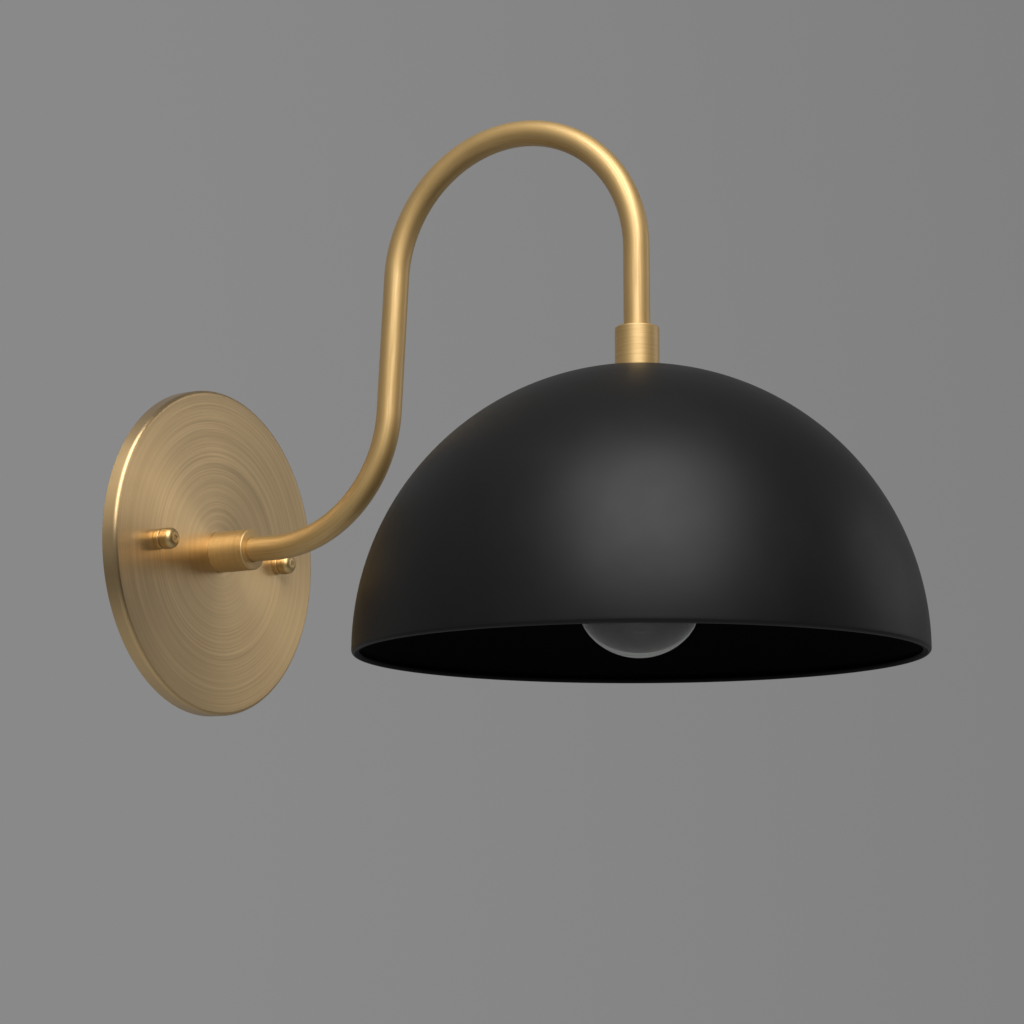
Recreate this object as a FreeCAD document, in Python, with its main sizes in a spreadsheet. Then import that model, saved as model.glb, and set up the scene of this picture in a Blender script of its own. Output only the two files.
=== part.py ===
import FreeCAD, Part
import math
import os
import re
import Sketcher

# Gooseneck wall sconce: a round backplate on the wall, a bent tube arm, and a dome shade
# that hangs from it over a clear screw-in bulb.
# Millimetres, +Z up. The wall is the plane y = 0 and the sconce stands out from it along -Y.
# The origin is the centre of the backplate on the wall. The arm lies in the plane x = 0.

doc = FreeCAD.newDocument("gooseneck_wall_sconce")

# ---------------------------------------------------------------- driving dimensions

SIZES = {
    # backplate, a shallow spun cup whose rim meets the wall
    "plate_diameter": 127.0,
    "plate_depth": 6.35,
    "plate_wall": 1.2,
    "plate_edge_round": 1.5,
    "plate_bore": 10.8,
    "stud_spacing": 76.2,
    "plate_stud_hole": 5.0,
    # the two brass collars: one on the plate, one on the shade
    "collar_diameter": 15.875,
    "plate_collar_length": 15.875,
    "shade_collar_length": 15.875,
    "collar_edge_round": 0.6,
    "tube_seat_depth": 8.0,
    "braze_gap": 0.05,
    # arm tube, from the plate collar round to the shade collar
    "tube_diameter": 9.525,
    "tube_wall": 1.0,
    "arm_lead": 10.9,
    "lower_bend_radius": 50.8,
    "rise_lean": 3.0,
    "rise_length": 51.6,
    "upper_bend_radius": 50.8,
    "drop_length": 29.3,
    # threaded lamp pipe, with its washers and nuts
    "pipe_diameter": 10.29,
    "pipe_bore": 7.6,
    "thread_gap": 0.05,
    "collar_engagement": 7.0,
    "nipple_tail": 1.0,
    "lock_washer_diameter": 15.0,
    "lock_washer_thickness": 0.7,
    "washer_tooth_depth": 1.2,
    "washer_tooth_gap": 1.3,
    "washer_teeth": 10,
    "lock_nut_flats": 14.3,
    "lock_nut_thickness": 3.2,
    "bushing_length": 4.0,
    "bushing_wall": 0.7,
    "bushing_lip_diameter": 9.2,
    "bushing_lip": 0.7,
    # crossbar that is screwed to the wall box
    "bar_thickness": 1.9,
    "bar_upright_width": 20.0,
    "bar_upright_margin": 3.95,
    "bar_across_width": 16.0,
    "bar_across_margin": 6.9,
    "bar_ring_diameter": 38.0,
    "bar_ring_bore": 22.2,
    "box_screw_near": 69.85,
    "box_screw_far": 88.9,
    "box_slot_width": 4.8,
    "ground_screw_drop": 24.0,
    "ground_screw_diameter": 4.8,
    "ground_head_diameter": 8.4,
    "ground_head_height": 2.4,
    "ground_screw_tip": 4.0,
    # studs of the crossbar, their lock nuts and the ball nuts in front of the plate
    "stud_diameter": 4.17,
    "stud_head_diameter": 7.6,
    "stud_head_height": 2.2,
    "stud_head_round": 0.9,
    "stud_nut_flats": 8.73,
    "stud_nut_thickness": 2.4,
    "stud_grip": 5.4,
    "ball_nut_diameter": 8.0,
    "ball_nut_length": 7.8,
    "ball_nut_foot": 2.3,
    "ball_nut_foot_diameter": 7.8,
    "ball_nut_groove": 0.6,
    "ball_nut_waist": 6.4,
    "ball_nut_round": 2.3,
    "ball_nut_thread_depth": 5.8,
    "ball_nut_dimple": 1.7,
    "ball_nut_dimple_depth": 0.6,
    # dome shade
    "shade_diameter": 200.0,
    "shade_wall": 1.2,
    "shade_skirt": 2.2,
    "shade_hem": 2.8,
    "crown_flat": 18.0,
    "crown_bore": 10.8,
    # lamp socket
    "socket_diameter": 33.0,
    "socket_wall": 2.2,
    "socket_height": 34.0,
    "socket_hub_diameter": 16.0,
    "socket_hub_height": 3.5,
    "socket_top": 2.2,
    "socket_shoulder_round": 2.0,
    "socket_engagement": 4.6,
    "set_screw_diameter": 2.4,
    "block_thickness": 1.6,
    "block_clearance": 0.2,
    "lead_hole_gap": 0.1,
    "shell_length": 21.0,
    "shell_wall": 0.4,
    "shell_gap": 0.3,
    "shell_flange": 4.0,
    "contact_drop": 1.1,
    "contact_strip": 0.35,
    "contact_reach": 5.5,
    "contact_width": 6.0,
    "contact_gap": 0.1,
    # screw-in bulb, base up
    "bulb_diameter": 47.6,
    "bulb_length": 88.5,
    "bulb_neck": 22.4,
    "bulb_neck_sweep": 30.0,
    "bulb_glass": 0.7,
    "base_diameter": 25.9,
    "base_length": 26.4,
    "base_wall": 0.3,
    "base_cone": 3.4,
    "cement_length": 6.0,
    "seal_gap": 0.05,
    "base_insulator_depth": 2.6,
    "tip_diameter": 9.4,
    "tip_height": 1.5,
    "tip_round": 0.8,
    "stem_diameter": 5.2,
    "stem_length": 24.0,
    "stem_flare_height": 11.0,
    "post_diameter": 0.7,
    "post_lean": 20.5,
    "post_spread": 15.0,
    "post_length": 15.0,
    "filament_diameter": 0.6,
    # lead wires inside the arm
    "lead_diameter": 2.2,
    "lead_pitch": 3.0,
    "lead_tail": 7.0,
    "lead_strip": 7.0,
    "lead_core": 1.1,
}

sheet = doc.addObject("Spreadsheet::Sheet", "Sizes")
for row, (name, number) in enumerate(SIZES.items(), start=1):
    cell = "B%d" % row
    sheet.set("A%d" % row, name)
    sheet.set(cell, str(number))
    sheet.setAlias(cell, name)
doc.recompute()


def value(formula):
    """Number that a formula in the sheet's names has now."""
    return float(sheet.evalExpression(formula))


def bound(formula):
    """The same formula as the rest of the document reads it, with the sheet named."""
    def named(word):
        return "Sizes." + word.group() if word.group() in SIZES else word.group()

    return re.sub(r"[a-z_]+", named, formula)


# places that several sub-parts share, as formulas in the sheet's names

REACH = (
    "(plate_depth + plate_collar_length + arm_lead + rise_length * sin(rise_lean)"
    " + (lower_bend_radius + upper_bend_radius) * cos(rise_lean) + upper_bend_radius)"
)
ARCH_END = (
    "(lower_bend_radius * (1 - sin(rise_lean)) + rise_length * cos(rise_lean)"
    " - upper_bend_radius * sin(rise_lean))"
)
SHADE_COLLAR_TOP = "(%s - drop_length)" % ARCH_END
CROWN = "(%s - shade_collar_length)" % SHADE_COLLAR_TOP
SHADE_DROP = "sqrt(shade_diameter ^ 2 - crown_flat ^ 2) / 2"
SHADE_HEIGHT = "(shade_skirt + %s)" % SHADE_DROP
SOCKET_TOP = "(%s - shade_wall - lock_washer_thickness - lock_nut_thickness)" % CROWN
BLOCK_FOOT = "(%s - socket_hub_height - socket_top - block_thickness)" % SOCKET_TOP
BULB_TOP = "(%s - contact_drop - contact_gap)" % BLOCK_FOOT
NIPPLE_RADIUS = "(pipe_diameter / 2 + thread_gap)"
STUD_BORE = "(stud_diameter / 2 + thread_gap)"
PLATE_NUT_FOOT = "(plate_depth - plate_wall - lock_washer_thickness - lock_nut_thickness)"

OUT_OF_WALL = FreeCAD.Rotation(FreeCAD.Vector(1, 0, 0), 90)
UPRIGHT = FreeCAD.Rotation()

# how near an edge's radius and height must lie to the ones asked for
EDGE_TOLERANCE = 0.001


# ---------------------------------------------------------------- drawing helpers

def place(thing, at, rotation):
    """Put a sub-part's own origin at three formulas and turn it."""
    thing.Placement = FreeCAD.Placement(FreeCAD.Vector(*[value(formula) for formula in at]), rotation)
    for axis, formula in zip("xyz", at):
        thing.setExpression(".Placement.Base." + axis, bound(formula))


def body_named(label):
    body = doc.addObject("PartDesign::Body", label)
    body.Label = label
    return body


def sketch_on(body, role, name):
    """New sketch of a body on one of its own origin planes."""
    sketch = body.newObject("Sketcher::SketchObject", name)
    plane = [feature for feature in body.Origin.OriginFeatures if feature.Role == role][0]
    sketch.AttachmentSupport = [(plane, "")]
    sketch.MapMode = "FlatFace"
    return sketch


def pin_point(sketch, geometry, point, across, up):
    """Hold a point of the sketch at two formulas, measured from the sketch's origin."""
    pin_one(sketch, "DistanceX", geometry, point, across)
    pin_one(sketch, "DistanceY", geometry, point, up)


def pin_one(sketch, kind, geometry, point, formula):
    """Hold one coordinate of a point at a formula, or the point on the sketch's axis where that is 0."""
    if formula == "0":
        axis = -2 if kind == "DistanceX" else -1
        sketch.addConstraint(Sketcher.Constraint("PointOnObject", geometry, point, axis))
        return
    index = sketch.addConstraint(Sketcher.Constraint(kind, -1, 1, geometry, point, value(formula)))
    sketch.setExpression("Constraints[%d]" % index, bound(formula))


def draw(sketch, points, closed=True):
    """Chain of lines and arcs through points given as formulas.

    A point (x, y) starts a line to the next one. A point (x, y, centre x, centre y, turn) starts an arc
    round that centre, with turn 1 anticlockwise and -1 clockwise.
    """
    places = [FreeCAD.Vector(value(point[0]), value(point[1]), 0) for point in points]
    count = len(points) if closed else len(points) - 1
    ends = []
    for index in range(count):
        start = places[index]
        finish = places[(index + 1) % len(points)]
        if len(points[index]) == 2:
            geometry = sketch.addGeometry(Part.LineSegment(start, finish), False)
            ends.append((geometry, 1, 2))
            continue
        centre = FreeCAD.Vector(value(points[index][2]), value(points[index][3]), 0)
        turn = points[index][4]
        first, last = (start, finish) if turn > 0 else (finish, start)
        first_angle = math.atan2(first.y - centre.y, first.x - centre.x)
        last_angle = math.atan2(last.y - centre.y, last.x - centre.x)
        if last_angle <= first_angle:
            last_angle += 2 * math.pi
        circle = Part.Circle(centre, FreeCAD.Vector(0, 0, 1), (first - centre).Length)
        geometry = sketch.addGeometry(Part.ArcOfCircle(circle, first_angle, last_angle), False)
        ends.append((geometry, 1, 2) if turn > 0 else (geometry, 2, 1))
        chord = finish - start
        if abs(chord.x) > abs(chord.y):
            pin_one(sketch, "DistanceY", geometry, 3, points[index][3])
        else:
            pin_one(sketch, "DistanceX", geometry, 3, points[index][2])
    for index, (geometry, start_point, finish_point) in enumerate(ends):
        pin_point(sketch, geometry, start_point, points[index][0], points[index][1])
        if index + 1 < count or closed:
            follower = ends[(index + 1) % count]
            sketch.addConstraint(
                Sketcher.Constraint("Coincident", geometry, finish_point, follower[0], follower[1]))
        else:
            pin_point(sketch, geometry, finish_point, points[-1][0], points[-1][1])


def draw_circle(sketch, radius, across="0", up="0"):
    centre = FreeCAD.Vector(value(across), value(up), 0)
    geometry = sketch.addGeometry(Part.Circle(centre, FreeCAD.Vector(0, 0, 1), value(radius)), False)
    if across == "0" and up == "0":
        sketch.addConstraint(Sketcher.Constraint("Coincident", geometry, 3, -1, 1))
    else:
        pin_point(sketch, geometry, 3, across, up)
    index = sketch.addConstraint(Sketcher.Constraint("Radius", geometry, value(radius)))
    sketch.setExpression("Constraints[%d]" % index, bound(radius))


def box_points(width, height):
    """Corners of a rectangle centred on the sketch's origin."""
    half_width = "%s / 2" % width
    half_height = "%s / 2" % height
    return [("-" + half_width, "-" + half_height), (half_width, "-" + half_height),
            (half_width, half_height), ("-" + half_width, half_height)]


def turned(label, points, at, rotation=UPRIGHT):
    """Body turned about its own Z axis from a profile of (radius, height) points."""
    body = body_named(label)
    sketch = sketch_on(body, "XZ_Plane", label + "_profile")
    draw(sketch, points)
    revolution = body.newObject("PartDesign::Revolution", label + "_turning")
    revolution.Profile = sketch
    revolution.ReferenceAxis = (sketch, ["V_Axis"])
    revolution.Angle = 360
    place(body, at, rotation)
    doc.recompute()
    return body


def pad(body, name, sketch, length):
    feature = body.newObject("PartDesign::Pad", name)
    feature.Profile = sketch
    feature.setExpression("Length", bound(length))
    return feature


def through_cut(body, name, sketch):
    """Pocket through the whole body, both ways from the sketch's plane."""
    feature = body.newObject("PartDesign::Pocket", name)
    feature.Profile = sketch
    feature.Type = "ThroughAll"
    feature.Midplane = True
    return feature


def mirrored(body, name, feature, role):
    """The same cut on the other side of one of the body's origin planes."""
    mirror = body.newObject("PartDesign::Mirrored", name)
    plane = [item for item in body.Origin.OriginFeatures if item.Role == role][0]
    mirror.Originals = [feature]
    mirror.MirrorPlane = (plane, [""])
    body.Tip = mirror


def ring_edges(shape, radius, height):
    """Names of the circular edges of one radius at one height along Z."""
    names = []
    for number, edge in enumerate(shape.Edges, start=1):
        if not isinstance(edge.Curve, Part.Circle):
            continue
        radius_off = abs(edge.Curve.Radius - radius)
        height_off = abs(edge.Curve.Center.z - height)
        if max(radius_off, height_off) < EDGE_TOLERANCE:
            names.append("Edge%d" % number)
    return names


def rounded(body, name, size, rings):
    """Fillet the circular edges named by (radius, height) formulas."""
    doc.recompute()
    base = body.Tip
    edges = []
    for radius, height in rings:
        edges += ring_edges(base.Shape, value(radius), value(height))
    fillet = body.newObject("PartDesign::Fillet", name)
    fillet.Base = (base, edges)
    fillet.setExpression("Radius", bound(size))
    doc.recompute()


def hex_nut(label, flats, thickness, bore, at, rotation):
    """Hexagonal nut with a plain bore at its thread's crest."""
    prism = doc.addObject("Part::Prism", label + "_hexagon")
    prism.Polygon = 6
    prism.setExpression("Circumradius", bound("%s / 2 / cos(30)" % flats))
    prism.setExpression("Height", bound(thickness))
    drill = doc.addObject("Part::Cylinder", label + "_bore")
    drill.setExpression("Radius", bound(bore))
    drill.setExpression("Height", bound("3 * %s" % thickness))
    drill.setExpression(".Placement.Base.z", bound("-%s" % thickness))
    nut = doc.addObject("Part::Cut", label)
    nut.Base = prism
    nut.Tool = drill
    nut.Label = label
    place(nut, at, rotation)


# ---------------------------------------------------------------- backplate and its fixings

def make_backplate():
    """Shallow cup: flat brushed face, rounded front edge, open towards the wall."""
    radius = "plate_diameter / 2"
    body = turned("backplate", [
        ("plate_bore / 2", "plate_depth"),
        ("plate_bore / 2", "plate_depth - plate_wall"),
        (radius + " - plate_wall", "plate_depth - plate_wall"),
        (radius + " - plate_wall", "0"),
        (radius, "0"),
        (radius, "plate_depth - plate_edge_round", radius + " - plate_edge_round",
         "plate_depth - plate_edge_round", 1),
        (radius + " - plate_edge_round", "plate_depth"),
    ], ("0", "0", "0"), OUT_OF_WALL)
    sketch = sketch_on(body, "XY_Plane", "backplate_stud_hole")
    draw_circle(sketch, "plate_stud_hole / 2", "stud_spacing / 2", "0")
    cut = through_cut(body, "backplate_stud_cut", sketch)
    mirrored(body, "backplate_stud_pair", cut, "YZ_Plane")


def make_collar(label, length, at, rotation):
    """Solid collar: threaded from its foot for the nipple, counterbored at its head for the tube."""
    nose = "%s - tube_seat_depth" % length
    tube = "tube_diameter / 2 + braze_gap"
    body = turned(label, [
        (NIPPLE_RADIUS, "0"),
        ("collar_diameter / 2", "0"),
        ("collar_diameter / 2", length),
        (tube, length),
        (tube, nose),
        ("pipe_bore / 2", nose),
        ("pipe_bore / 2", "collar_engagement"),
        (NIPPLE_RADIUS, "collar_engagement"),
    ], at, rotation)
    rounded(body, label + "_edge", "collar_edge_round", [("collar_diameter / 2", length)])


def make_nipple(label, length, at, rotation):
    """Short hollow threaded pipe."""
    turned(label, [
        ("pipe_bore / 2", "0"),
        ("pipe_diameter / 2", "0"),
        ("pipe_diameter / 2", length),
        ("pipe_bore / 2", length),
    ], at, rotation)


def make_lock_washer(label, at, rotation):
    """Flat ring with inward teeth that bite under the lock nut."""
    body = body_named(label)
    sketch = sketch_on(body, "XY_Plane", label + "_ring")
    draw_circle(sketch, "lock_washer_diameter / 2")
    draw_circle(sketch, NIPPLE_RADIUS)
    pad(body, label + "_pad", sketch, "lock_washer_thickness")
    notch = sketch_on(body, "XY_Plane", label + "_notch")
    reach = NIPPLE_RADIUS + " + washer_tooth_depth"
    start = NIPPLE_RADIUS + " - washer_tooth_depth"
    draw(notch, [
        (start, "-washer_tooth_gap / 2"), (reach, "-washer_tooth_gap / 2"),
        (reach, "washer_tooth_gap / 2"), (start, "washer_tooth_gap / 2"),
    ])
    cut = through_cut(body, label + "_notch_cut", notch)
    pattern = body.newObject("PartDesign::PolarPattern", label + "_teeth")
    axis = [item for item in body.Origin.OriginFeatures if item.Role == "Z_Axis"][0]
    pattern.Originals = [cut]
    pattern.Axis = (axis, [""])
    pattern.Angle = 360
    pattern.setExpression("Occurrences", bound("washer_teeth"))
    body.Tip = pattern
    place(body, at, rotation)


def make_bushing():
    """Plastic bushing in the mouth of the plate nipple, where the leads leave for the wall box."""
    bore = "pipe_bore / 2 - thread_gap"
    turned("nipple_bushing", [
        (bore + " - bushing_wall", "-bushing_lip"),
        ("bushing_lip_diameter / 2", "-bushing_lip"),
        ("bushing_lip_diameter / 2", "0"),
        (bore, "0"),
        (bore, "bushing_length"),
        (bore + " - bushing_wall", "bushing_length"),
    ], ("0", "-(%s - nipple_tail)" % PLATE_NUT_FOOT, "0"), OUT_OF_WALL)


def make_crossbar():
    """Flat steel cross: slotted arms up and down for the box screws, tapped arms for the studs."""
    body = body_named("crossbar")
    upright = sketch_on(body, "XY_Plane", "crossbar_upright")
    length = "(box_screw_far + box_slot_width + 2 * bar_upright_margin)"
    draw(upright, box_points("bar_upright_width", length))
    pad(body, "crossbar_upright_pad", upright, "bar_thickness")
    across = sketch_on(body, "XY_Plane", "crossbar_across")
    draw(across, box_points("(stud_spacing + 2 * bar_across_margin)", "bar_across_width"))
    pad(body, "crossbar_across_pad", across, "bar_thickness")
    ring = sketch_on(body, "XY_Plane", "crossbar_ring")
    draw_circle(ring, "bar_ring_diameter / 2")
    pad(body, "crossbar_ring_pad", ring, "bar_thickness")
    opening = sketch_on(body, "XY_Plane", "crossbar_opening")
    draw_circle(opening, "bar_ring_bore / 2")
    through_cut(body, "crossbar_opening_cut", opening)
    ground = sketch_on(body, "XY_Plane", "crossbar_ground_hole")
    draw_circle(ground, "ground_screw_diameter / 2 + thread_gap", "0", "-ground_screw_drop")
    through_cut(body, "crossbar_ground_cut", ground)
    slot = sketch_on(body, "XY_Plane", "crossbar_slot")
    half = "box_slot_width / 2"
    near = "box_screw_near / 2"
    far = "box_screw_far / 2"
    draw(slot, [
        (half, near), (half, far, "0", far, 1),
        ("-" + half, far), ("-" + half, near, "0", near, 1),
    ])
    slot_cut = through_cut(body, "crossbar_slot_cut", slot)
    mirrored(body, "crossbar_slot_pair", slot_cut, "XZ_Plane")
    hole = sketch_on(body, "XY_Plane", "crossbar_stud_hole")
    draw_circle(hole, STUD_BORE, "stud_spacing / 2", "0")
    hole_cut = through_cut(body, "crossbar_stud_cut", hole)
    mirrored(body, "crossbar_stud_pair", hole_cut, "YZ_Plane")
    place(body, ("0", "0", "0"), OUT_OF_WALL)


def make_ground_screw():
    """Earth screw in the lower arm of the crossbar, head towards the plate."""
    shank = "ground_screw_diameter / 2"
    head_top = "bar_thickness + ground_head_height"
    turned("ground_screw", [
        ("0", "bar_thickness - ground_screw_tip"),
        (shank, "bar_thickness - ground_screw_tip"),
        (shank, "bar_thickness"),
        ("ground_head_diameter / 2", "bar_thickness"),
        ("ground_head_diameter / 2", head_top),
        ("0", head_top),
    ], ("0", "0", "-ground_screw_drop"), OUT_OF_WALL)


def make_stud(label, across):
    """Pan-head machine screw through the crossbar from behind, which carries the plate."""
    shank_end = "plate_depth + stud_grip"
    body = turned(label, [
        ("0", "-stud_head_height"),
        ("stud_head_diameter / 2", "-stud_head_height"),
        ("stud_head_diameter / 2", "0"),
        ("stud_diameter / 2", "0"),
        ("stud_diameter / 2", shank_end),
        ("0", shank_end),
    ], (across, "0", "0"), OUT_OF_WALL)
    rounded(body, label + "_head", "stud_head_round", [("stud_head_diameter / 2", "-stud_head_height")])


def make_ball_nut(label, across):
    """Turned cap nut: foot, groove and round-nosed head with a centre dimple."""
    head = "ball_nut_diameter / 2"
    nose = "ball_nut_length"
    waist_foot = "ball_nut_foot"
    waist_top = "ball_nut_foot + ball_nut_groove"
    turned(label, [
        (STUD_BORE, "0"),
        ("ball_nut_foot_diameter / 2", "0"),
        ("ball_nut_foot_diameter / 2", waist_foot),
        ("ball_nut_waist / 2", waist_foot),
        ("ball_nut_waist / 2", waist_top),
        (head, waist_top),
        (head, nose + " - ball_nut_round", head + " - ball_nut_round", nose + " - ball_nut_round", 1),
        (head + " - ball_nut_round", nose),
        ("ball_nut_dimple / 2", nose),
        ("0", nose + " - ball_nut_dimple_depth"),
        ("0", "ball_nut_thread_depth"),
        (STUD_BORE, "ball_nut_thread_depth"),
    ], (across, "-plate_depth", "0"), OUT_OF_WALL)


def make_plate_side():
    make_backplate()
    make_collar("plate_collar", "plate_collar_length", ("0", "-plate_depth", "0"), OUT_OF_WALL)
    nipple_length = ("plate_wall + lock_washer_thickness + lock_nut_thickness + nipple_tail"
                     " + collar_engagement")
    nipple_foot = "-(%s - nipple_tail)" % PLATE_NUT_FOOT
    make_nipple("plate_nipple", nipple_length, ("0", nipple_foot, "0"), OUT_OF_WALL)
    washer_foot = "-(plate_depth - plate_wall - lock_washer_thickness)"
    make_lock_washer("plate_lock_washer", ("0", washer_foot, "0"), OUT_OF_WALL)
    hex_nut("plate_lock_nut", "lock_nut_flats", "lock_nut_thickness", NIPPLE_RADIUS,
            ("0", "-" + PLATE_NUT_FOOT, "0"), OUT_OF_WALL)
    make_bushing()
    make_crossbar()
    make_ground_screw()
    for side, across in (("left", "-stud_spacing / 2"), ("right", "stud_spacing / 2")):
        make_stud(side + "_stud", across)
        hex_nut(side + "_stud_nut", "stud_nut_flats", "stud_nut_thickness", STUD_BORE,
                (across, "-bar_thickness", "0"), OUT_OF_WALL)
        make_ball_nut(side + "_ball_nut", across)


# ---------------------------------------------------------------- arm and leads

def arm_path(start_run, end_run):
    """Centreline in (y, z) from a start behind the first bend to an end below the arch.

    Straight run out from the wall, bend up, leaning rise, arch over, straight drop.
    """
    bend_start = "-(%s)" % start_run
    bend_end = "(%s - lower_bend_radius * cos(rise_lean))" % bend_start
    bend_top = "lower_bend_radius * (1 - sin(rise_lean))"
    rise_end = "(%s - rise_length * sin(rise_lean))" % bend_end
    rise_top = "(%s + rise_length * cos(rise_lean))" % bend_top
    arch_middle = "(%s - upper_bend_radius * cos(rise_lean))" % rise_end
    arch_side = "(%s - upper_bend_radius)" % arch_middle
    return [
        ("0", "0"),
        (bend_start, "0", bend_start, "lower_bend_radius", -1),
        (bend_end, bend_top),
        (rise_end, rise_top, arch_middle, ARCH_END, 1),
        (arch_side, ARCH_END),
        (arch_side, "%s - (%s)" % (ARCH_END, end_run)),
    ]


def swept(label, radii, start_run, end_run, at):
    """Body swept along the arm's centreline, with one or two concentric radii."""
    body = body_named(label)
    path = sketch_on(body, "YZ_Plane", label + "_path")
    draw(path, arm_path(start_run, end_run), closed=False)
    section = sketch_on(body, "XZ_Plane", label + "_section")
    for radius in radii:
        draw_circle(section, radius)
    pipe = body.newObject("PartDesign::AdditivePipe", label + "_pipe")
    pipe.Profile = section
    pipe.Spine = path
    pipe.Mode = "Standard"
    place(body, at, UPRIGHT)
    doc.recompute()


def make_arm():
    """Bent brass tube between the two collars."""
    outer = "tube_diameter / 2"
    back = "-(plate_depth + plate_collar_length - tube_seat_depth)"
    swept("gooseneck_arm", [outer, outer + " - tube_wall"], "tube_seat_depth + arm_lead",
          "drop_length + tube_seat_depth", ("0", back, "0"))


def make_leads():
    """Two insulated leads from the wall box through the arm to the socket, with stripped ends."""
    tail_start = "(lead_tail + nipple_tail - %s)" % PLATE_NUT_FOOT
    start_run = "%s + plate_depth + plate_collar_length + arm_lead" % tail_start
    end_run = ("drop_length + shade_collar_length + shade_wall + lock_washer_thickness"
               " + lock_nut_thickness + socket_hub_height + socket_top + block_thickness / 2")
    for label, side in (("live_lead", ""), ("neutral_lead", "-")):
        across = side + "lead_pitch / 2"
        swept(label, ["lead_diameter / 2"], start_run, end_run, (across, tail_start, "0"))
        core = doc.addObject("Part::Cylinder", label + "_end")
        core.Label = label + "_end"
        core.setExpression("Radius", bound("lead_core / 2"))
        core.setExpression("Height", bound("lead_strip"))
        place(core, (across, tail_start + " + lead_strip", "0"), OUT_OF_WALL)


# ---------------------------------------------------------------- shade and its neck

def make_shade():
    """Spun dome with a flat crown round its hole, a short straight skirt and a turned-in hem."""
    radius = "shade_diameter / 2"
    hem = "shade_hem / 2"
    inner = "(shade_diameter / 2 - shade_wall)"
    inner_rise = "(%s - shade_wall)" % SHADE_DROP
    inner_crown = "sqrt(%s ^ 2 - %s ^ 2)" % (inner, inner_rise)
    turned("dome_shade", [
        ("crown_bore / 2", SHADE_HEIGHT + " - shade_wall"),
        (inner_crown, SHADE_HEIGHT + " - shade_wall", "0", "shade_skirt", -1),
        (inner, "shade_skirt"),
        (radius + " - shade_hem", hem, radius + " - " + hem, hem, 1),
        (radius + " - " + hem, "0", radius + " - " + hem, hem, 1),
        (radius, hem),
        (radius, "shade_skirt", "0", "shade_skirt", 1),
        ("crown_flat / 2", SHADE_HEIGHT),
        ("crown_bore / 2", SHADE_HEIGHT),
    ], ("0", "-" + REACH, "%s - %s" % (CROWN, SHADE_HEIGHT)))


def make_shade_neck():
    """Collar on top of the shade, and the nipple, washer and nut that clamp the shade to it."""
    make_collar("shade_collar", "shade_collar_length", ("0", "-" + REACH, CROWN), UPRIGHT)
    nipple_length = ("collar_engagement + shade_wall + lock_washer_thickness + lock_nut_thickness"
                     " + socket_engagement")
    nipple_foot = SOCKET_TOP + " - socket_engagement"
    make_nipple("shade_nipple", nipple_length, ("0", "-" + REACH, nipple_foot), UPRIGHT)
    make_lock_washer("shade_lock_washer",
                     ("0", "-" + REACH, CROWN + " - shade_wall - lock_washer_thickness"), UPRIGHT)
    hex_nut("shade_lock_nut", "lock_nut_flats", "lock_nut_thickness", NIPPLE_RADIUS,
            ("0", "-" + REACH, SOCKET_TOP), UPRIGHT)


# ---------------------------------------------------------------- lamp socket

def make_socket_housing():
    """Moulded housing: threaded hub, shoulder and skirt, open downwards."""
    radius = "socket_diameter / 2"
    shoulder = "socket_height - socket_hub_height"
    ceiling = shoulder + " - socket_top"
    body = turned("socket_housing", [
        (NIPPLE_RADIUS, ceiling),
        (radius + " - socket_wall", ceiling),
        (radius + " - socket_wall", "0"),
        (radius, "0"),
        (radius, shoulder + " - socket_shoulder_round", radius + " - socket_shoulder_round",
         shoulder + " - socket_shoulder_round", 1),
        (radius + " - socket_shoulder_round", shoulder),
        ("socket_hub_diameter / 2", shoulder),
        ("socket_hub_diameter / 2", "socket_height"),
        (NIPPLE_RADIUS, "socket_height"),
    ], ("0", "-" + REACH, SOCKET_TOP + " - socket_height"))
    hole = sketch_on(body, "XZ_Plane", "socket_set_screw_hole")
    draw_circle(hole, "set_screw_diameter / 2 + thread_gap", "0", "socket_height - socket_hub_height / 2")
    cut = body.newObject("PartDesign::Pocket", "socket_set_screw_cut")
    cut.Profile = hole
    cut.setExpression("Length", bound("socket_hub_diameter"))
    cut.Reversed = True


def make_set_screw():
    """Small grub screw that locks the hub to the nipple."""
    screw = doc.addObject("Part::Cylinder", "socket_set_screw")
    screw.Label = "socket_set_screw"
    screw.setExpression("Radius", bound("set_screw_diameter / 2"))
    screw.setExpression("Height", bound("(socket_hub_diameter - pipe_diameter) / 2 - thread_gap"))
    tip = "-%s - pipe_diameter / 2 - thread_gap" % REACH
    place(screw, ("0", tip, SOCKET_TOP + " - socket_hub_height / 2"), OUT_OF_WALL)


def make_contact_block():
    """Insulating disc under the housing's ceiling, with a hole for each lead."""
    body = body_named("contact_block")
    disc = sketch_on(body, "XY_Plane", "contact_block_disc")
    draw_circle(disc, "socket_diameter / 2 - socket_wall - block_clearance")
    pad(body, "contact_block_pad", disc, "block_thickness")
    hole = sketch_on(body, "XY_Plane", "contact_block_hole")
    draw_circle(hole, "lead_diameter / 2 + lead_hole_gap", "lead_pitch / 2", "0")
    cut = through_cut(body, "contact_block_cut", hole)
    mirrored(body, "contact_block_pair", cut, "YZ_Plane")
    place(body, ("0", "-" + REACH, BLOCK_FOOT), UPRIGHT)


def make_socket_shell():
    """Brass screw shell that hangs from the contact block by its flange."""
    inner = "(base_diameter / 2 + shell_gap)"
    outer = "(%s + shell_wall)" % inner
    turned("socket_shell", [
        (inner, "-shell_length"),
        (outer, "-shell_length"),
        (outer, "0"),
        (outer + " - shell_flange", "0"),
        (outer + " - shell_flange", "-shell_wall"),
        (inner, "-shell_wall"),
    ], ("0", "-" + REACH, BLOCK_FOOT))


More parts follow.
